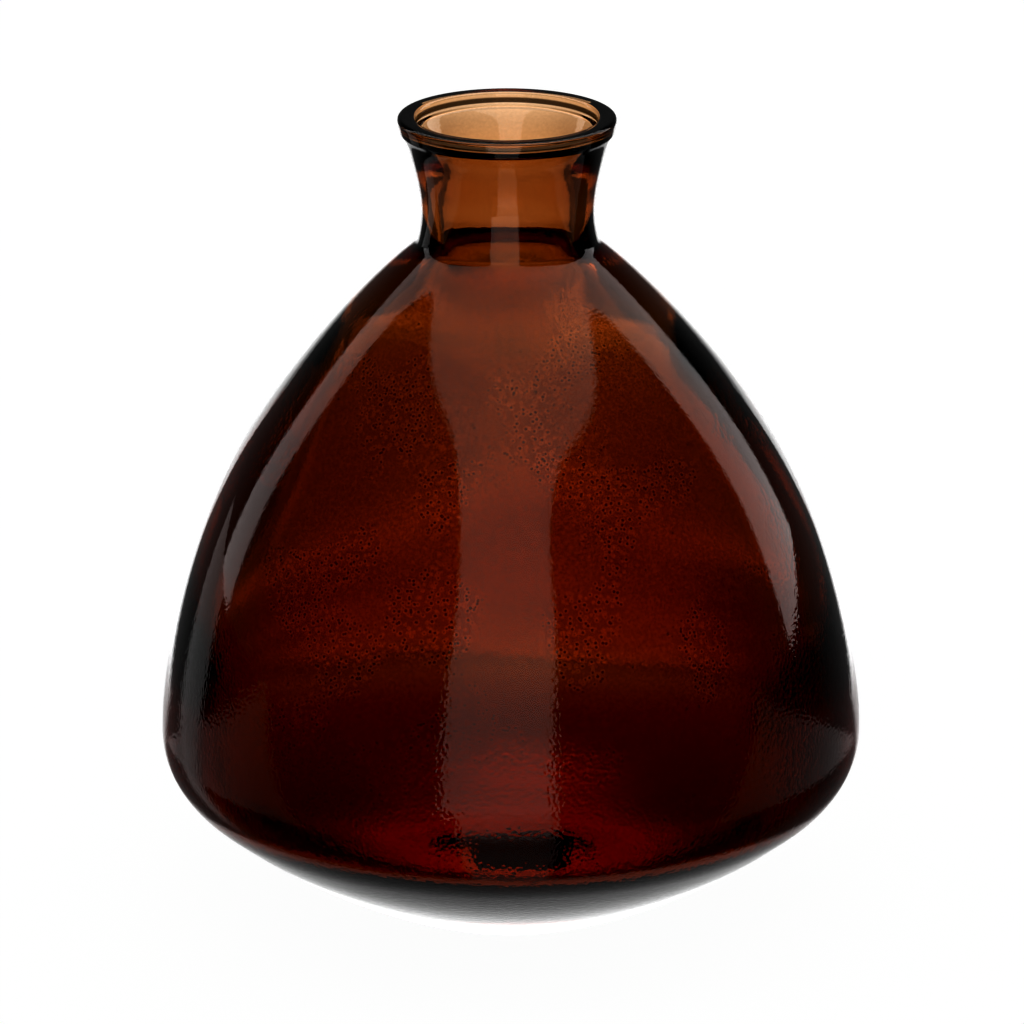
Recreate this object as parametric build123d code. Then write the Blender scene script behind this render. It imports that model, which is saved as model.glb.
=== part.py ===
from build123d import *
import os

# Glass bud vase: one piece of thick amber-brown recycled glass, blown in a mould. A wide
# pear-shaped body sits on a small foot ring, narrows to a waisted neck and ends in a thick
# flared lip. The vase is hollow and opens only at the mouth. Every glass surface is turned
# about Z. A plain square label is stuck under the foot, in the pushed-up centre.
# Units are millimetres, +Z is up, and the origin is the centre of the foot, on the surface
# that the vase stands on. Where a point is given, it is (radius, height).

HEIGHT = 185.5

# Foot: a flat ring that the vase stands on, round a shallow pushed-up centre (the kick)
FOOT_OUTER_RADIUS = 29.5
FOOT_INNER_RADIUS = 21.1
KICK_HEIGHT = 1.9
KICK_SPHERE = (FOOT_INNER_RADIUS**2 + KICK_HEIGHT**2) / (2 * KICK_HEIGHT)
FOOT_ROUNDING = 0.8

# Label: a square sheet that follows the curve of the kick, a little off centre
LABEL_SIDE = 23.3
LABEL_OFFSET = 2.3
LABEL_THICKNESS = 0.2
LABEL_GAP = 0.02

# Body: a shallow underside turns up through the knuckle into the tall tapering side
BODY_RADIUS = 80.0
BODY_RADIUS_HEIGHT = 40.5
KNUCKLE_RADIUS = 19.0
KNUCKLE_SWEEP = 51.0
SIDE_POINTS = ((76.6, 66.0), (60.2, 109.0), (34.2, 143.5))
SHOULDER_END_DIRECTION = (-1.23, 1.0)

# Neck and lip: the neck stands out of the shoulder in a soft crease and flares to the lip
NECK_ROOT = (20.6, 156.1)
NECK_ROOT_ROUNDING = 3.0
NECK_ROOT_DIRECTION = (-0.25, 1.0)
NECK_WAIST = (19.6, 161.5)
NECK_FLARE = (21.6, 176.0)
NECK_TOP_DIRECTION = (0.8, 1.0)
LIP_BOTTOM = (24.2, 182.0)
LIP_RADIUS = 24.9
LIP_ROUNDING = 0.9

# Mouth: a ring just inside the lip, a creased groove under it, then the flare down into the
# bore
MOUTH_RADIUS = 20.7
MOUTH_ROUNDING = 0.7
CREASE_TOP = (20.4, 183.4)
CREASE_DEEPEST = (20.9, 183.0)
CREASE_BOTTOM = (20.2, 182.7)
FLARE_DIRECTION = (-0.8, -1.0)
FLARE_POINT = (16.6, 176.5)
BORE_RADIUS = 15.0
BORE_TOP_HEIGHT = 169.5
BORE_BOTTOM_HEIGHT = 158.1

# Inside of the body: it opens out quickly below the bore, and the wall is thickest at the
# knuckle and the floor
INNER_ROOT_POINTS = ((17.2, 151.2), (31.4, 139.1))
INNER_SHOULDER_TOP = (39.6, 128.0)
INNER_SHOULDER_DIRECTION = (0.50, -0.87)
INNER_SHOULDER_POINTS = ((52.7, 105.0), (66.7, 70.0))
INNER_KNUCKLE_POINTS = ((68.4, 49.4), (66.8, 31.1))
INNER_FLOOR_POINTS = ((57.5, 26.0), (26.4, 13.3))
FLOOR_CENTRE_HEIGHT = 12.5


def outer_outline():
    """The outside of the glass, from the middle of the kick to the lip's outer edge."""
    foot_in = (FOOT_INNER_RADIUS, 0)
    foot_out = (FOOT_OUTER_RADIUS, 0)
    widest = (BODY_RADIUS, BODY_RADIUS_HEIGHT)
    kick = RadiusArc((0, KICK_HEIGHT), foot_in, KICK_SPHERE)
    foot = Line(foot_in, foot_out)
    knuckle = JernArc(widest, (0, -1), KNUCKLE_RADIUS, -KNUCKLE_SWEEP)
    underside = TangentArc(knuckle @ 1, foot_out, tangent=knuckle % 1)
    side = Spline(widest, *SIDE_POINTS, NECK_ROOT, tangents=((0, 1), SHOULDER_END_DIRECTION))
    neck = Spline(
        NECK_ROOT,
        NECK_WAIST,
        NECK_FLARE,
        LIP_BOTTOM,
        tangents=(NECK_ROOT_DIRECTION, NECK_TOP_DIRECTION),
    )
    lip = Line(LIP_BOTTOM, (LIP_RADIUS, HEIGHT))
    return [kick, foot, underside, knuckle, side, neck, lip]


def inner_outline():
    """The inside of the glass, from the mouth's edge down to the middle of the floor."""
    bore_top = (BORE_RADIUS, BORE_TOP_HEIGHT)
    bore_bottom = (BORE_RADIUS, BORE_BOTTOM_HEIGHT)
    mouth_ring = Line((MOUTH_RADIUS, HEIGHT), CREASE_TOP)
    crease = ThreePointArc(CREASE_TOP, CREASE_DEEPEST, CREASE_BOTTOM)
    flare = Spline(CREASE_BOTTOM, FLARE_POINT, bore_top, tangents=(FLARE_DIRECTION, (0, -1)))
    bore = Line(bore_top, bore_bottom)
    root = Spline(
        bore_bottom,
        *INNER_ROOT_POINTS,
        INNER_SHOULDER_TOP,
        tangents=((0, -1), INNER_SHOULDER_DIRECTION),
    )
    body = Spline(
        INNER_SHOULDER_TOP,
        *INNER_SHOULDER_POINTS,
        *INNER_KNUCKLE_POINTS,
        *INNER_FLOOR_POINTS,
        (0, FLOOR_CENTRE_HEIGHT),
        tangents=(INNER_SHOULDER_DIRECTION, (-1, 0)),
    )
    return [mouth_ring, crease, flare, bore, root, body]


def circle_edges(solid, radius, height):
    """The solid's circular edges about Z that have this radius and height."""
    tolerance = 0.01
    return [
        edge
        for edge in solid.edges().filter_by(GeomType.CIRCLE)
        if abs(edge.radius - radius) < tolerance
        and abs(edge.arc_center.Z - height) < tolerance
    ]


def glass_vessel():
    """The whole vase: the section of its wall turned about Z, with its edges softened."""
    lip_top = Line((LIP_RADIUS, HEIGHT), (MOUTH_RADIUS, HEIGHT))
    floor_on_axis = Line((0, FLOOR_CENTRE_HEIGHT), (0, KICK_HEIGHT))
    outline = Wire([*outer_outline(), lip_top, *inner_outline(), floor_on_axis])
    vessel = revolve(Plane.XZ * Face(outline), Axis.Z)
    roundings = (
        (FOOT_INNER_RADIUS, 0, FOOT_ROUNDING),
        (FOOT_OUTER_RADIUS, 0, FOOT_ROUNDING),
        (*NECK_ROOT, NECK_ROOT_ROUNDING),
        (*LIP_BOTTOM, LIP_ROUNDING),
        (LIP_RADIUS, HEIGHT, LIP_ROUNDING),
        (MOUTH_RADIUS, HEIGHT, MOUTH_ROUNDING),
    )
    for radius, height, rounding in roundings:
        vessel = fillet(circle_edges(vessel, radius, height), rounding)
    return vessel


def base_label():
    """The square sheet under the foot, cut from a shell just inside the kick's curve."""
    centre = Pos(0, 0, KICK_HEIGHT - KICK_SPHERE)
    top_face = KICK_SPHERE - LABEL_GAP
    shell = centre * (Sphere(top_face) - Sphere(top_face - LABEL_THICKNESS))
    column = Pos(LABEL_OFFSET, 0, KICK_HEIGHT / 2) * Box(LABEL_SIDE, LABEL_SIDE, KICK_HEIGHT)
    return column & shell


os.makedirs("parts", exist_ok=True)
export_step(glass_vessel(), "parts/glass_vessel.step")
export_step(base_label(), "parts/base_label.step")
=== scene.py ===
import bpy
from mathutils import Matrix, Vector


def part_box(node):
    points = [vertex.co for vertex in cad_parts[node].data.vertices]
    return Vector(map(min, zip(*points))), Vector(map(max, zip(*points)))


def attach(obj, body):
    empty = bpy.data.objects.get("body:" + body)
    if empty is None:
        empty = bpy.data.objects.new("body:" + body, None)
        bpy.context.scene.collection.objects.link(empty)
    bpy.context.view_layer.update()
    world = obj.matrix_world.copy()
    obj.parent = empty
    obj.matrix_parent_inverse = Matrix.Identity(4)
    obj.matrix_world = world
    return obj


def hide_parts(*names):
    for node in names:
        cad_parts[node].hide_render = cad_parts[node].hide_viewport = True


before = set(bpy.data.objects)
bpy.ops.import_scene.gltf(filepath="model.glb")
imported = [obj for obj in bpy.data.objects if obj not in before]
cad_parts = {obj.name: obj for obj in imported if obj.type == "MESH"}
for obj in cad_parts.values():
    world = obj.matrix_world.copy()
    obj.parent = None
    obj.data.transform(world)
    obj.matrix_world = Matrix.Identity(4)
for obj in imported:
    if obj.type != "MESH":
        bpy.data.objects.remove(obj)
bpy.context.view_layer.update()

import math
import random

import bmesh
import bpy
from mathutils import Vector

# Glass bud vase: thick amber-brown recycled glass, blown in a mould. The outline comes from
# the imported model; the slight unevenness of hand-made glass, its dimpled surface and its
# seeds are made here. Lengths are in metres, and +Z is up.

MM = 0.001
NODE = "glass_vessel"
LABEL = "base_label"
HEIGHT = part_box(NODE)[1].z

# The turned mesh
SEGMENTS_AROUND = 288
LONGEST_RING_STEP = 2.1 * MM
ON_SEAM = 0.001 * MM

# Unevenness of the glass: how far the surfaces wander, and over what distance
OUTSIDE_WANDER = 0.22 * MM
INSIDE_WANDER = 0.40 * MM
WANDER_LENGTH = 55 * MM
WAVE_COUNT = 14
WAVE_SPREAD = (0.6, 1.8)  # each wave's length, as a share of WANDER_LENGTH
WAVE_CALM = 1.6  # keeps the sum of the waves within about -1 to 1
FOOT_CALM_HEIGHT = 12 * MM
LIP_CALM_HEIGHT = 8 * MM
LIP_UNEVENNESS = 0.25
LEAN_START = 0.5  # of the vase's height
NECK_LEAN = Vector((-0.8 * MM, 0.3 * MM))

# Seeds: small air bubbles inside the wall
SEED_COUNT = 70
SEED_RADII = (0.12 * MM, 0.34 * MM)
SEED_DEPTHS = (1.2 * MM, 3.4 * MM)
SEED_HEIGHTS = (0.14, 0.80)  # of the vase's height
SEED_STRETCH = (1.0, 1.6)  # a seed's height over its width

# The glass itself
REFRACTIVE_INDEX = 1.5
LOSS_PER_METRE = (84.0, 176.0, 300.0)  # red, green, blue

# Its surface: a fine ripple all over, stronger low down on the body, where it breaks up the
# edges of reflections, and inside a hammered pattern of small dimples, in patches
RIPPLE_SIZE = 0.8 * MM
RIPPLE_DEPTH = 0.008 * MM
LOW_RIPPLE = 4.5  # times as deep
LOW_RIPPLE_HEIGHTS = (88 * MM, 58 * MM)
GRAIN_SIZE = 0.35 * MM
GRAIN_DEPTH = 0.002 * MM
DIMPLE_SIZE = 1.25 * MM
DIMPLE_DEPTH = 0.04 * MM
# The ring of each dimple that gets a painted highlight, and below it the middle that gets painted
# shade
LIT_RIM_SPAN = (0.42, 0.60)  # distance from a dimple's centre, as a share of its size
SHADED_MIDDLE_SPAN = (0.34, 0.22)
PATCH_SIZE = 17 * MM
PATCH_LEVELS = (0.48, 0.58)
MOTTLE_SIZE = 0.62 * MM
MOTTLE_LEVELS = (0.42, 0.60)
NECK_HEIGHTS = (150 * MM, 158 * MM)
LOW_TINT_HEIGHTS = (68 * MM, 48 * MM)

# The tint of the inner surface, for red, green and blue: plain, at a dimple's rim, in its
# middle, and in the neck, where it is even. It is weaker low down. The paler rim is a painted
# highlight and the dark middle is painted shade; together they stand in for the light that the
# dimples bend. The tint is chosen for the look of the glass: with the loss in its depth it
# makes the body as dark as it is.
PLAIN_TINT = (0.59, 0.51, 0.46)
CLEAR_TINT_AND_RIM_LIGHT = (1.0, 1.0, 1.0)
DIMPLE_PAINTED_SHADE = (0.16, 0.09, 0.07)
NECK_TINT = (0.80, 0.80, 0.86)
NECK_EVENNESS = 0.85
MOTTLE_SHARE = 0.45
LOW_TINT_SHARE = 0.5
INSIDE = "inside"  # a number at each vertex of the wall: 1 inside, 0 outside

# The label's paper
LABEL_DARK = (0.022, 0.020, 0.019)
LABEL_PALE = (0.038, 0.035, 0.032)
LABEL_MOTTLE_SIZE = 3.0 * MM
FIBRE_SIZE = 0.25 * MM
FIBRE_DEPTH = 0.01 * MM
PAPER_ROUGHNESS = 0.85


# ---------------------------------------------------------------- outline


def seam_outline():
    """The wall's closed section as [(radius, height)], from the middle of the kick round the
    outside, over the lip and down the inside to the middle of the floor. It follows the
    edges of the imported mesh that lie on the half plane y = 0, x > 0."""
    mesh = bmesh.new()
    mesh.from_mesh(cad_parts[NODE].data)
    bmesh.ops.remove_doubles(mesh, verts=mesh.verts, dist=ON_SEAM)
    seam = {v for v in mesh.verts if abs(v.co.y) < ON_SEAM and v.co.x > -ON_SEAM}
    on_axis = [v for v in seam if v.co.x < ON_SEAM]
    here = min(on_axis, key=lambda v: v.co.z)
    walked = [here]
    while True:
        joined = [e.other_vert(here) for e in here.link_edges]
        ahead = [v for v in joined if v in seam and v not in walked]
        if not ahead:
            break
        here = ahead[0]
        walked.append(here)
    outline = [(v.co.x, v.co.z) for v in walked]
    mesh.free()
    return outline


def smooth_between(before, start, end, after, t):
    """A point between start and end on the curve that also heads for its neighbours."""
    points = [Vector(p) for p in (before, start, end, after)]
    length = (points[2] - points[1]).length
    steps = [max((b - a).length, 1e-9) for a, b in zip(points, points[1:])]
    leave = (points[2] - points[0]) / (steps[0] + steps[1]) * length
    arrive = (points[3] - points[1]) / (steps[1] + steps[2]) * length
    square, cube = t * t, t * t * t
    return (
        (2 * cube - 3 * square + 1) * points[1]
        + (cube - 2 * square + t) * leave
        + (3 * square - 2 * cube) * points[2]
        + (cube - square) * arrive
    )


def fine_outline():
    """The section with its long steps divided along a smooth curve."""
    outline = seam_outline()
    fine = []
    for i in range(len(outline) - 1):
        start, end = outline[i], outline[i + 1]
        before = outline[i - 1] if i else (-end[0], end[1])
        last = i + 2 == len(outline)
        after = (-start[0], start[1]) if last else outline[i + 2]
        gap = math.dist(start, end)
        pieces = max(1, math.ceil(gap / LONGEST_RING_STEP))
        for k in range(pieces):
            fine.append(tuple(smooth_between(before, start, end, after, k / pieces)))
    fine.append(outline[-1])
    return fine


# ---------------------------------------------------------------- vase


def wander_field(seed):
    """A smooth random function of a point, within about -1 to 1."""
    dice = random.Random(seed)
    waves = []
    for _ in range(WAVE_COUNT):
        direction = Vector([dice.gauss(0, 1) for _ in range(3)]).normalized()
        length = WANDER_LENGTH * dice.uniform(*WAVE_SPREAD)
        waves.append((direction * 2 * math.pi / length, dice.uniform(0, 2 * math.pi)))

    def field(point):
        total = sum(math.cos(wave.dot(point) + phase) for wave, phase in waves)
        return total / math.sqrt(WAVE_COUNT / 2) / WAVE_CALM

    return field


def lean_at(height):
    """How far the axis of the hand-made vase has moved sideways at this height."""
    rise = max(0.0, (height / HEIGHT - LEAN_START) / (1 - LEAN_START))
    return NECK_LEAN * rise * rise * (3 - 2 * rise)


def is_outside(index, outline):
    """True for the part of the section before the top of the lip."""
    top = max(range(len(outline)), key=lambda i: outline[i][1])
    return index <= top


def add_wall(mesh, outline):
    """The turned wall, with its uneven outside and inside."""
    outside_field, inside_field = wander_field(11), wander_field(23)
    inside_mark = mesh.verts.layers.float.new(INSIDE)
    rings = []
    for index, (radius, height) in enumerate(outline):
        outside = is_outside(index, outline)
        field = outside_field if outside else inside_field
        reach = OUTSIDE_WANDER if outside else INSIDE_WANDER
        calm = min(1.0, height / FOOT_CALM_HEIGHT)
        calm *= min(1.0, (HEIGHT - height) / LIP_CALM_HEIGHT + LIP_UNEVENNESS)
        lean = lean_at(height)
        if radius < ON_SEAM:
            middle = mesh.verts.new((lean.x, lean.y, height))
            middle[inside_mark] = 0.0 if outside else 1.0
            rings.append([middle])
            continue
        ring = []
        for k in range(SEGMENTS_AROUND):
            angle = 2 * math.pi * k / SEGMENTS_AROUND
            across = Vector((math.cos(angle), math.sin(angle), 0))
            spot = across * radius + Vector((0, 0, height))
            uneven = radius + reach * calm * field(spot)
            corner = mesh.verts.new((across.x * uneven + lean.x, across.y * uneven + lean.y, height))
            corner[inside_mark] = 0.0 if outside else 1.0
            ring.append(corner)
        rings.append(ring)
    for lower, upper in zip(rings, rings[1:]):
        for k in range(SEGMENTS_AROUND):
            following = (k + 1) % SEGMENTS_AROUND
            corners = [
                lower[k % len(lower)],
                lower[following % len(lower)],
                upper[following % len(upper)],
                upper[k % len(upper)],
            ]
            mesh.faces.new(dict.fromkeys(corners))
    bmesh.ops.recalc_face_normals(mesh, faces=mesh.faces)


def ball():
    """The corners and faces of a small ball of radius 1."""
    mesh = bmesh.new()
    bmesh.ops.create_icosphere(mesh, subdivisions=2, radius=1.0)
    corners = [corner.co.copy() for corner in mesh.verts]
    faces = [[corner.index for corner in face.verts] for face in mesh.faces]
    mesh.free()
    return corners, faces


def add_seeds(mesh, outline):
    """Air bubbles in the wall: small closed shells whose faces look into the bubble."""
    dice = random.Random(37)
    corners, faces = ball()
    low, high = (share * HEIGHT for share in SEED_HEIGHTS)
    outside = [i for i in range(1, len(outline) - 1) if is_outside(i, outline)]
    places = [i for i in outside if low < outline[i][1] < high]
    for _ in range(SEED_COUNT):
        i = dice.choice(places)
        along = Vector(outline[i + 1]) - Vector(outline[i - 1])
        inward = Vector((-along.y, along.x)).normalized()
        radius, height = Vector(outline[i]) + inward * dice.uniform(*SEED_DEPTHS)
        angle = dice.uniform(0, 2 * math.pi)
        place = Vector((radius * math.cos(angle), radius * math.sin(angle), height))
        size = dice.uniform(*SEED_RADII)
        tall = dice.uniform(*SEED_STRETCH)
        bubble = []
        for corner in corners:
            offset = Vector((corner.x, corner.y, corner.z * tall)) * size
            bubble.append(mesh.verts.new(place + offset))
        for face in faces:
            mesh.faces.new([bubble[k] for k in reversed(face)])


def build_vase():
    """The glass as one mesh: its wall, and the seeds inside the wall."""
    outline = fine_outline()
    mesh = bmesh.new()
    add_wall(mesh, outline)
    add_seeds(mesh, outline)
    for face in mesh.faces:
        face.smooth = True
    data = bpy.data.meshes.new("glass_wall")
    mesh.to_mesh(data)
    mesh.free()
    return data


# ---------------------------------------------------------------- material


def add_node(nodes, kind, **settings):
    """A new shader node with some of its properties set."""
    node = nodes.new(kind)
    for name, value in settings.items():
        setattr(node, name, value)
    return node


def add_math(nodes, links, operation, *values):
    """A maths node on inputs that are numbers or other nodes' outputs."""
    node = add_node(nodes, "ShaderNodeMath", operation=operation)
    for socket, value in zip(node.inputs, values):
        if isinstance(value, (int, float)):
            socket.default_value = value
        else:
            links.new(value, socket)
    return node.outputs[0]


def add_step(nodes, links, value, low, high):
    """0 where value is below low, 1 above high, and smooth between."""
    node = add_node(nodes, "ShaderNodeMapRange", interpolation_type="SMOOTHSTEP")
    links.new(value, node.inputs["Value"])
    node.inputs["From Min"].default_value = low
    node.inputs["From Max"].default_value = high
    return node.outputs["Result"]


def add_texture_height(nodes, links, place, kind, size, depth, output):
    """The height of a texture with this size of feature, scaled by depth."""
    texture = nodes.new(kind)
    texture.inputs["Scale"].default_value = 1 / size
    texture.inputs["Detail"].default_value = 0.0
    links.new(place, texture.inputs["Vector"])
    return add_math(nodes, links, "MULTIPLY", texture.outputs[output], depth)


def add_blend(nodes, links, share, first, second):
    """A colour from first to second, as share goes from 0 to 1."""
    node = add_node(nodes, "ShaderNodeMix", data_type="RGBA")
    colours = [socket for socket in node.inputs if socket.type == "RGBA"]
    shares = [socket for socket in node.inputs if socket.type == "VALUE"]
    if isinstance(share, float):
        shares[0].default_value = share
    else:
        links.new(share, shares[0])
    for socket, colour in zip(colours, (first, second)):
        if isinstance(colour, tuple):
            socket.default_value = (*colour, 1)
        else:
            links.new(colour, socket)
    return [socket for socket in node.outputs if socket.type == "RGBA"][0]


def dimple_patches(nodes, links, place, high):
    """1 in the patches of the body's inner surface that are dimpled, and 0 elsewhere."""
    noise = "ShaderNodeTexNoise"
    patches = add_texture_height(nodes, links, place, noise, PATCH_SIZE, 1.0, "Fac")
    patches = add_step(nodes, links, patches, *PATCH_LEVELS)
    inside = add_node(nodes, "ShaderNodeAttribute", attribute_name=INSIDE).outputs["Fac"]
    patches = add_math(nodes, links, "MULTIPLY", patches, inside)
    below_neck = add_step(nodes, links, high, NECK_HEIGHTS[1], NECK_HEIGHTS[0])
    return add_math(nodes, links, "MULTIPLY", patches, below_neck)


def inner_tint(nodes, links, place, high, patches):
    """The tint of the surface: none outside, and inside a mottled tint, with painted shade in
    the middle of each dimple and a painted highlight on its rim."""
    cells = nodes.new("ShaderNodeTexVoronoi")
    cells.inputs["Scale"].default_value = 1 / DIMPLE_SIZE
    links.new(place, cells.inputs["Vector"])
    distance = cells.outputs["Distance"]
    mottle = add_texture_height(
        nodes, links, place, "ShaderNodeTexNoise", MOTTLE_SIZE, 1.0, "Fac"
    )
    mottle = add_step(nodes, links, mottle, *MOTTLE_LEVELS)
    mottle = add_math(nodes, links, "MULTIPLY", mottle, MOTTLE_SHARE)
    plain = add_blend(nodes, links, mottle, PLAIN_TINT, CLEAR_TINT_AND_RIM_LIGHT)
    # A painted highlight on each dimple's rim, then painted shade in its middle
    past_lit_rim = add_step(nodes, links, distance, *LIT_RIM_SPAN)
    dimpled = add_blend(nodes, links, past_lit_rim, CLEAR_TINT_AND_RIM_LIGHT, PLAIN_TINT)
    shaded_middle = add_step(nodes, links, distance, *SHADED_MIDDLE_SPAN)
    dimpled = add_blend(nodes, links, shaded_middle, dimpled, DIMPLE_PAINTED_SHADE)
    tint = add_blend(nodes, links, patches, plain, dimpled)
    at_neck = add_step(nodes, links, high, *NECK_HEIGHTS)
    at_neck = add_math(nodes, links, "MULTIPLY", at_neck, NECK_EVENNESS)
    tint = add_blend(nodes, links, at_neck, tint, NECK_TINT)
    low_down = add_step(nodes, links, high, *LOW_TINT_HEIGHTS)
    share = add_math(nodes, links, "MULTIPLY_ADD", low_down, LOW_TINT_SHARE - 1, 1.0)
    inside = add_node(nodes, "ShaderNodeAttribute", attribute_name=INSIDE).outputs["Fac"]
    share = add_math(nodes, links, "MULTIPLY", share, inside)
    return add_blend(nodes, links, share, CLEAR_TINT_AND_RIM_LIGHT, tint)


def amber_glass():
    """Clear glass that takes its colour from the length of glass the light passes through."""
    material = bpy.data.materials.new("amber_glass")
    material.use_nodes = True
    nodes, links = material.node_tree.nodes, material.node_tree.links
    nodes.clear()
    output = nodes.new("ShaderNodeOutputMaterial")
    glass = nodes.new("ShaderNodeBsdfPrincipled")
    glass.inputs["Transmission Weight"].default_value = 1
    glass.inputs["IOR"].default_value = REFRACTIVE_INDEX
    glass.inputs["Roughness"].default_value = 0.0
    links.new(glass.outputs["BSDF"], output.inputs["Surface"])

    depth = nodes.new("ShaderNodeVolumeAbsorption")
    density = max(LOSS_PER_METRE)
    colour = [1 - loss / density for loss in LOSS_PER_METRE]
    depth.inputs["Color"].default_value = (*colour, 1)
    depth.inputs["Density"].default_value = density
    links.new(depth.outputs["Volume"], output.inputs["Volume"])

    place = nodes.new("ShaderNodeTexCoord").outputs["Object"]
    parts = nodes.new("ShaderNodeSeparateXYZ")
    links.new(place, parts.inputs[0])
    high = parts.outputs["Z"]
    patches = dimple_patches(nodes, links, place, high)
    tint = inner_tint(nodes, links, place, high, patches)
    # The inner tint carries painted shade in the dimples' middles and painted highlights on their
    # rims
    links.new(tint, glass.inputs["Base Color"])

    noise, cells = "ShaderNodeTexNoise", "ShaderNodeTexVoronoi"
    ripple = add_texture_height(nodes, links, place, noise, RIPPLE_SIZE, RIPPLE_DEPTH, "Fac")
    low_down = add_step(nodes, links, high, *LOW_RIPPLE_HEIGHTS)
    deeper = add_math(nodes, links, "MULTIPLY_ADD", low_down, LOW_RIPPLE - 1, 1.0)
    ripple = add_math(nodes, links, "MULTIPLY", ripple, deeper)
    grain = add_texture_height(nodes, links, place, noise, GRAIN_SIZE, GRAIN_DEPTH, "Fac")
    dimples = add_texture_height(
        nodes, links, place, cells, DIMPLE_SIZE, DIMPLE_DEPTH, "Distance"
    )
    dimples = add_math(nodes, links, "MULTIPLY", dimples, patches)
    height = add_math(nodes, links, "ADD", ripple, grain)
    height = add_math(nodes, links, "ADD", height, dimples)
    bump = nodes.new("ShaderNodeBump")
    bump.inputs["Distance"].default_value = 1.0
    links.new(height, bump.inputs["Height"])
    links.new(bump.outputs["Normal"], glass.inputs["Normal"])
    return material


def dark_paper():
    """Matt label paper with faint fibres, coloured near-black and a little paler at random."""
    material = bpy.data.materials.new("dark_label")
    material.use_nodes = True
    nodes, links = material.node_tree.nodes, material.node_tree.links
    paper = nodes["Principled BSDF"]
    paper.inputs["Roughness"].default_value = PAPER_ROUGHNESS
    place = nodes.new("ShaderNodeTexCoord").outputs["Object"]
    label_mottle = nodes.new("ShaderNodeTexNoise")
    label_mottle.inputs["Scale"].default_value = 1 / LABEL_MOTTLE_SIZE
    links.new(place, label_mottle.inputs["Vector"])
    shade = add_blend(nodes, links, label_mottle.outputs["Fac"], LABEL_DARK, LABEL_PALE)
    links.new(shade, paper.inputs["Base Color"])
    fibres = add_texture_height(
        nodes, links, place, "ShaderNodeTexNoise", FIBRE_SIZE, FIBRE_DEPTH, "Fac"
    )
    bump = nodes.new("ShaderNodeBump")
    bump.inputs["Distance"].default_value = 1.0
    links.new(fibres, bump.inputs["Height"])
    links.new(bump.outputs["Normal"], paper.inputs["Normal"])
    return material


# ---------------------------------------------------------------- studio


# Brightness as the glass sees it; the white of the picture is 1. These levels, and the places
# of the flags and of the lit floor, are chosen for the look of the glass from the front.
FLAG_LEVEL = 0.40
BACK_FLAG_LEVEL = 0.27
FRONT_LEVEL = 2.1
RIGHT_LEVEL = 2.5
LEFT_LEVEL = 2.0

# Dark flags round the vase: the middle's azimuth, half the width and the top's elevation, in
# degrees from the vase. Azimuth 0 is towards the camera and 90 towards +X.
SIDE_FLAGS = ((-70.0, 48.0, 54.0), (64.0, 49.0, 52.0))
BACK_FLAG = (182.5, 46.5, 34.0)
FLAG_SQUARENESS = 5.0
FLAG_EDGE = (0.9, 1.1)
TURN_TO_SIDE = (40.0, 110.0)  # azimuths between which the front's level becomes the side's

# The floor as the glass sees it. Light gathers under the foot, and the floor is bright out to
# the flags, in a channel behind the vase, down a gap in front, and down a narrower gap behind
# to the left. A dimmer band runs out on each side. In front, past FRONT_END, the room shows.
FLOOR_LEVELS = (
    (0.032, 3.6),
    (0.038, 2.4),
    (0.046, 1.5),
    (0.052, 1.1),
    (0.058, 0.90),
    (0.086, 0.93),
    (0.13, 1.0),
    (0.17, 0.88),
    (0.20, 1.1),
    (0.225, 1.8),
    (0.235, 1.9),
    (0.25, 1.6),
    (0.30, 1.2),
    (0.43, 1.1),
    (0.50, 1.4),
)  # distance from the axis, and brightness
CLEAR_RADIUS = 0.086
SOFT_EDGE = 0.01
SHARP_EDGE = 0.003
BEHIND_START = (0.0, 0.02)
CHANNEL_START = 0.06
CHANNEL_SPREAD = 0.086
CHANNEL_WIDENING = 0.8
FAR_CHANNEL_SLOPE = 0.44
VERY_FAR = (1.2, 2.0)
VERY_FAR_LEVEL = 0.8
LEFT_GAP_SLOPES = (0.77, 1.54)
LEFT_GAP_OFFSETS = (0.105, 0.13)
LEFT_GAP_EDGES = (0.01, 0.02)
LEFT_GAP_LEVEL = 0.9
SIDE_BAND_LEVEL = 0.65
SIDE_BAND_HALF_WIDTH = 0.10
SIDE_BAND_START = 0.155
FRONT_START = (0.07, 0.08)
FRONT_LEFT = (0.31, 0.012, 0.016)  # the edge's slope, and its soft step along X
FRONT_RIGHT = (-0.27, -0.008, -0.012)
FRONT_END = 0.275
PALE_SHARE = 0.985  # of the paper as the camera sees it, lit evenly; the rest takes shadows
PAPER_WHITE = 0.99
FLOOR_REACH = 4.0
FLOOR_DROP = 0.1 * MM

# The view
EYE_DISTANCE = 1.6
RISE_ABOVE_RIM = 15.0  # degrees
AIM_OFFSET = (0.35 * MM, -0.8 * MM)  # across, and up from half the height
SENSOR_WIDTH = 36
FOCAL_LENGTH = 259
CLIP_RANGE = (0.05, 50)
VIEW_GAMMA = 0.56
BLACK_LEVEL = 0.03
LONG_PATHS = 24
GLOSSY_PATHS = 12


def add_eye_choice(nodes, links, for_glass, for_eye):
    """for_eye where the camera or the floor looks, and for_glass where the glass looks."""
    ray = nodes.new("ShaderNodeLightPath")
    seen = add_math(
        nodes, links, "MAXIMUM", ray.outputs["Is Camera Ray"], ray.outputs["Is Diffuse Ray"]
    )
    choose = nodes.new("ShaderNodeMixShader")
    links.new(seen, choose.inputs[0])
    links.new(for_glass, choose.inputs[1])
    links.new(for_eye, choose.inputs[2])
    return choose.outputs[0]


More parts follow.
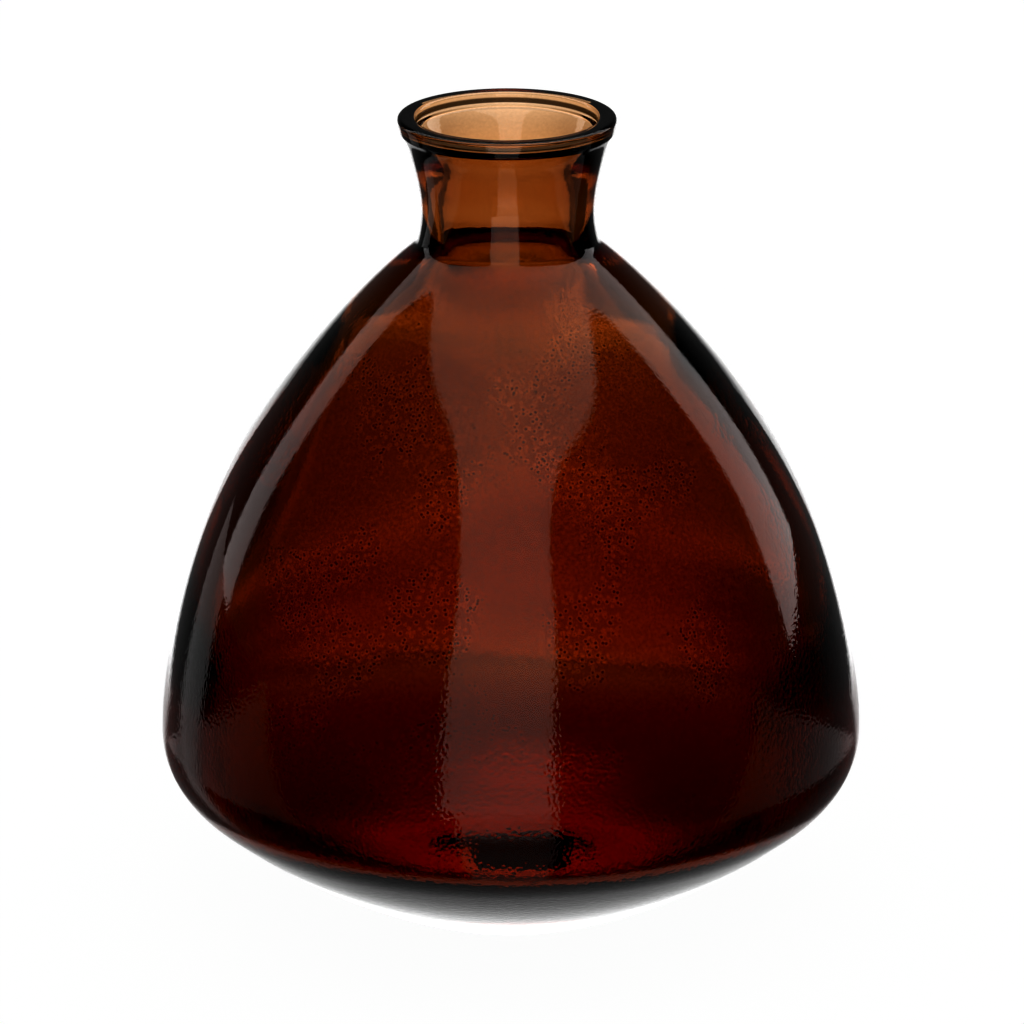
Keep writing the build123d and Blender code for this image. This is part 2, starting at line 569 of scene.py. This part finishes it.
def add_flag(nodes, links, azimuth, elevation, flag):
    """1 inside a flag's rounded rectangle, and 0 outside it."""
    middle, half_width, top = flag
    turn = add_math(nodes, links, "SUBTRACT", azimuth, middle)
    turn = add_math(nodes, links, "WRAP", turn, -180.0, 180.0)
    across = add_math(nodes, links, "DIVIDE", turn, half_width)
    across = add_math(nodes, links, "ABSOLUTE", across)
    above = add_math(nodes, links, "MAXIMUM", elevation, 0.0)
    up = add_math(nodes, links, "DIVIDE", above, top)
    across = add_math(nodes, links, "POWER", across, FLAG_SQUARENESS)
    up = add_math(nodes, links, "POWER", up, FLAG_SQUARENESS)
    corner = add_math(nodes, links, "ADD", across, up)
    outside = add_step(nodes, links, corner, *FLAG_EDGE)
    return add_math(nodes, links, "SUBTRACT", 1.0, outside)


def studio_world():
    """A white room. The glass sees it between dark flags, one each side of the camera and one
    behind the vase. The camera and the floor see only white."""
    world = bpy.data.worlds.new("studio")
    bpy.context.scene.world = world
    world.use_nodes = True
    nodes, links = world.node_tree.nodes, world.node_tree.links
    nodes.clear()
    output = nodes.new("ShaderNodeOutputWorld")
    white = nodes.new("ShaderNodeBackground")
    white.inputs["Color"].default_value = (1, 1, 1, 1)
    room = nodes.new("ShaderNodeBackground")
    room.inputs["Color"].default_value = (1, 1, 1, 1)

    direction = nodes.new("ShaderNodeSeparateXYZ")
    links.new(nodes.new("ShaderNodeTexCoord").outputs["Generated"], direction.inputs[0])
    forward = add_math(nodes, links, "MULTIPLY", direction.outputs["Y"], -1.0)
    turn = add_math(nodes, links, "ARCTAN2", direction.outputs["X"], forward)
    azimuth = add_math(nodes, links, "DEGREES", turn)
    rise = add_math(nodes, links, "ARCSINE", direction.outputs["Z"])
    elevation = add_math(nodes, links, "DEGREES", rise)

    flags = 0.0
    for flag in SIDE_FLAGS:
        shape = add_flag(nodes, links, azimuth, elevation, flag)
        flags = add_math(nodes, links, "MAXIMUM", flags, shape)
    back_flag = add_flag(nodes, links, azimuth, elevation, BACK_FLAG)
    near_turn, far_turn = TURN_TO_SIDE
    right = add_step(nodes, links, azimuth, near_turn, far_turn)
    left = add_step(nodes, links, azimuth, -near_turn, -far_turn)
    level = add_math(nodes, links, "MULTIPLY_ADD", right, RIGHT_LEVEL - FRONT_LEVEL, FRONT_LEVEL)
    level = add_math(nodes, links, "MULTIPLY_ADD", left, LEFT_LEVEL - FRONT_LEVEL, level)
    clear = add_math(nodes, links, "SUBTRACT", 1.0, flags)
    above_flags = add_math(nodes, links, "SUBTRACT", level, FLAG_LEVEL)
    strength = add_math(nodes, links, "MULTIPLY_ADD", clear, above_flags, FLAG_LEVEL)
    above_back = add_math(nodes, links, "SUBTRACT", BACK_FLAG_LEVEL, strength)
    strength = add_math(nodes, links, "MULTIPLY_ADD", back_flag, above_back, strength)
    links.new(strength, room.inputs["Strength"])
    links.new(add_eye_choice(nodes, links, room.outputs[0], white.outputs[0]), output.inputs[0])


def add_profile(nodes, links, value, stops):
    """A number that runs straight from one stop to the next, along (value, number) stops."""
    reach = stops[-1][0]
    most = max(number for _, number in stops)
    ramp = nodes.new("ShaderNodeValToRGB")
    elements = ramp.color_ramp.elements
    while len(elements) < len(stops):
        elements.new(1.0)
    for element, (place, number) in zip(elements, stops):
        element.position = place / reach
        element.color = (number / most, number / most, number / most, 1)
    links.new(add_math(nodes, links, "DIVIDE", value, reach), ramp.inputs[0])
    return add_math(nodes, links, "MULTIPLY", ramp.outputs[0], most)


def lit_floor(nodes, links, x, back, radius):
    """1 where the floor is bright: near the vase, in the channel behind, and down the front
    gap; 0 elsewhere."""
    near = add_step(
        nodes, links, radius, CLEAR_RADIUS + SHARP_EDGE, CLEAR_RADIUS - SHARP_EDGE
    )
    spread = add_math(nodes, links, "SUBTRACT", back, CHANNEL_START)
    spread = add_math(nodes, links, "MAXIMUM", spread, 0.0)
    spread = add_math(nodes, links, "MINIMUM", spread, CHANNEL_SPREAD)
    reach = add_math(nodes, links, "MULTIPLY_ADD", spread, CHANNEL_WIDENING, CLEAR_RADIUS)
    far_reach = add_math(nodes, links, "MULTIPLY", back, FAR_CHANNEL_SLOPE)
    reach = add_math(nodes, links, "MAXIMUM", reach, far_reach)
    beside = add_math(nodes, links, "ABSOLUTE", x)
    beside = add_math(nodes, links, "SUBTRACT", beside, reach)
    channel = add_step(nodes, links, beside, SOFT_EDGE, -SOFT_EDGE)
    behind = add_step(nodes, links, back, *BEHIND_START)
    channel = add_math(nodes, links, "MULTIPLY", channel, behind)

    front = add_math(nodes, links, "MULTIPLY", back, -1.0)
    gap = add_step(nodes, links, front, *FRONT_START)
    for slope, start, end in (FRONT_LEFT, FRONT_RIGHT):
        edge = add_math(nodes, links, "MULTIPLY_ADD", front, slope, x)
        gap = add_math(nodes, links, "MULTIPLY", gap, add_step(nodes, links, edge, start, end))
    lit = add_math(nodes, links, "MAXIMUM", near, channel)
    return add_math(nodes, links, "MAXIMUM", lit, gap)


def floor_level(nodes, links, radius):
    """The brightness of the bright floor at this distance from the axis."""
    level = add_profile(nodes, links, radius, FLOOR_LEVELS)
    very_far = add_step(nodes, links, radius, *VERY_FAR)
    fall = VERY_FAR_LEVEL - FLOOR_LEVELS[-1][1]
    return add_math(nodes, links, "MULTIPLY_ADD", very_far, fall, level)


def left_gap_level(nodes, links, x, back):
    """The brightness of the gap behind to the left, and 0 outside it."""
    near_slope, far_slope = LEFT_GAP_SLOPES
    near_offset, far_offset = LEFT_GAP_OFFSETS
    near_soft, far_soft = LEFT_GAP_EDGES
    inner_edge = add_math(nodes, links, "MULTIPLY_ADD", back, near_slope, x)
    outer_edge = add_math(nodes, links, "MULTIPLY_ADD", back, far_slope, x)
    past_inner = add_step(
        nodes, links, inner_edge, near_soft - near_offset, -near_soft - near_offset
    )
    within_outer = add_step(
        nodes, links, outer_edge, -far_soft - far_offset, far_soft - far_offset
    )
    gap = add_math(nodes, links, "MULTIPLY", past_inner, within_outer)
    return add_math(nodes, links, "MULTIPLY", gap, LEFT_GAP_LEVEL)


def side_band_level(nodes, links, back, radius):
    """The brightness of the dimmer band that runs out on each side, and 0 outside it."""
    beside = add_math(nodes, links, "ABSOLUTE", back)
    edges = (SIDE_BAND_HALF_WIDTH + SOFT_EDGE, SIDE_BAND_HALF_WIDTH - SOFT_EDGE)
    band = add_step(nodes, links, beside, *edges)
    starts = (SIDE_BAND_START - SOFT_EDGE, SIDE_BAND_START + SOFT_EDGE)
    band = add_math(nodes, links, "MULTIPLY", band, add_step(nodes, links, radius, *starts))
    return add_math(nodes, links, "MULTIPLY", band, SIDE_BAND_LEVEL)


def pale_paper(nodes, links):
    """The white paper that the camera sees."""
    paper = nodes.new("ShaderNodeBsdfDiffuse")
    paper.inputs["Color"].default_value = (PAPER_WHITE, PAPER_WHITE, PAPER_WHITE, 1)
    pale = nodes.new("ShaderNodeMixShader")
    pale.inputs[0].default_value = PALE_SHARE
    links.new(paper.outputs[0], pale.inputs[1])
    links.new(nodes.new("ShaderNodeEmission").outputs[0], pale.inputs[2])
    return pale.outputs[0]


def floor_material():
    """White paper. The glass sees it bright near the vase, behind it and down the gaps, and
    dark elsewhere, as the flags shade it."""
    material = bpy.data.materials.new("floor_white")
    material.use_nodes = True
    nodes, links = material.node_tree.nodes, material.node_tree.links
    nodes.clear()
    output = nodes.new("ShaderNodeOutputMaterial")

    place = nodes.new("ShaderNodeTexCoord").outputs["Object"]
    parts = nodes.new("ShaderNodeSeparateXYZ")
    links.new(place, parts.inputs[0])
    x, back = parts.outputs["X"], parts.outputs["Y"]
    distance = add_node(nodes, "ShaderNodeVectorMath", operation="LENGTH")
    links.new(place, distance.inputs[0])
    radius = distance.outputs["Value"]

    lit = lit_floor(nodes, links, x, back, radius)
    level = floor_level(nodes, links, radius)
    level = add_math(nodes, links, "SUBTRACT", level, BACK_FLAG_LEVEL)
    strength = add_math(nodes, links, "MULTIPLY_ADD", lit, level, BACK_FLAG_LEVEL)
    left_gap = left_gap_level(nodes, links, x, back)
    strength = add_math(nodes, links, "MAXIMUM", strength, left_gap)
    side_band = side_band_level(nodes, links, back, radius)
    strength = add_math(nodes, links, "MAXIMUM", strength, side_band)
    shaded = nodes.new("ShaderNodeEmission")
    links.new(strength, shaded.inputs["Strength"])

    front = add_math(nodes, links, "MULTIPLY", back, -1.0)
    cut = nodes.new("ShaderNodeMixShader")
    links.new(add_step(nodes, links, front, FRONT_END, FRONT_END + SOFT_EDGE), cut.inputs[0])
    links.new(shaded.outputs[0], cut.inputs[1])
    links.new(nodes.new("ShaderNodeBsdfTransparent").outputs[0], cut.inputs[2])
    pale = pale_paper(nodes, links)
    links.new(add_eye_choice(nodes, links, cut.outputs[0], pale), output.inputs[0])
    return material


def floor():
    """A plain floor just under the foot."""
    reach = FLOOR_REACH
    mesh = bpy.data.meshes.new("floor")
    corners = [(-reach, -reach), (reach, -reach), (reach, reach), (-reach, reach)]
    mesh.from_pydata([(x, y, -FLOOR_DROP) for x, y in corners], [], [(0, 1, 2, 3)])
    mesh.materials.append(floor_material())
    ground = bpy.data.objects.new("floor", mesh)
    bpy.context.scene.collection.objects.link(ground)


def camera():
    """A long lens in front of the vase, looking down at about 18 degrees."""
    rise = EYE_DISTANCE * math.tan(math.radians(RISE_ABOVE_RIM))
    eye = Vector((0, -EYE_DISTANCE, HEIGHT + rise))
    aim = Vector((AIM_OFFSET[0], 0, HEIGHT / 2 + AIM_OFFSET[1]))
    data = bpy.data.cameras.new("camera")
    data.sensor_width = SENSOR_WIDTH
    data.lens = FOCAL_LENGTH
    data.clip_start, data.clip_end = CLIP_RANGE
    eye_object = bpy.data.objects.new("camera", data)
    bpy.context.scene.collection.objects.link(eye_object)
    eye_object.location = eye
    eye_object.rotation_euler = (aim - eye).to_track_quat("-Z", "Y").to_euler()
    bpy.context.scene.camera = eye_object


# ---------------------------------------------------------------- scene

vase = bpy.data.objects.new("amber_vase", build_vase())
bpy.context.scene.collection.objects.link(vase)
vase.data.materials.append(amber_glass())
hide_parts(NODE)
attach(vase, "root")

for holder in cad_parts[LABEL].material_slots:
    holder.material = dark_paper()

studio_world()
floor()
camera()

view = bpy.context.scene.view_settings
view.view_transform = "Standard"
view.look = "None"
view.gamma = VIEW_GAMMA
view.use_curve_mapping = True
view.curve_mapping.black_level = (BLACK_LEVEL, BLACK_LEVEL, BLACK_LEVEL)
view.curve_mapping.update()
cycles = bpy.context.scene.cycles
cycles.max_bounces = LONG_PATHS
cycles.transmission_bounces = LONG_PATHS
cycles.glossy_bounces = GLOSSY_PATHS
cycles.caustics_reflective = False
cycles.caustics_refractive = False
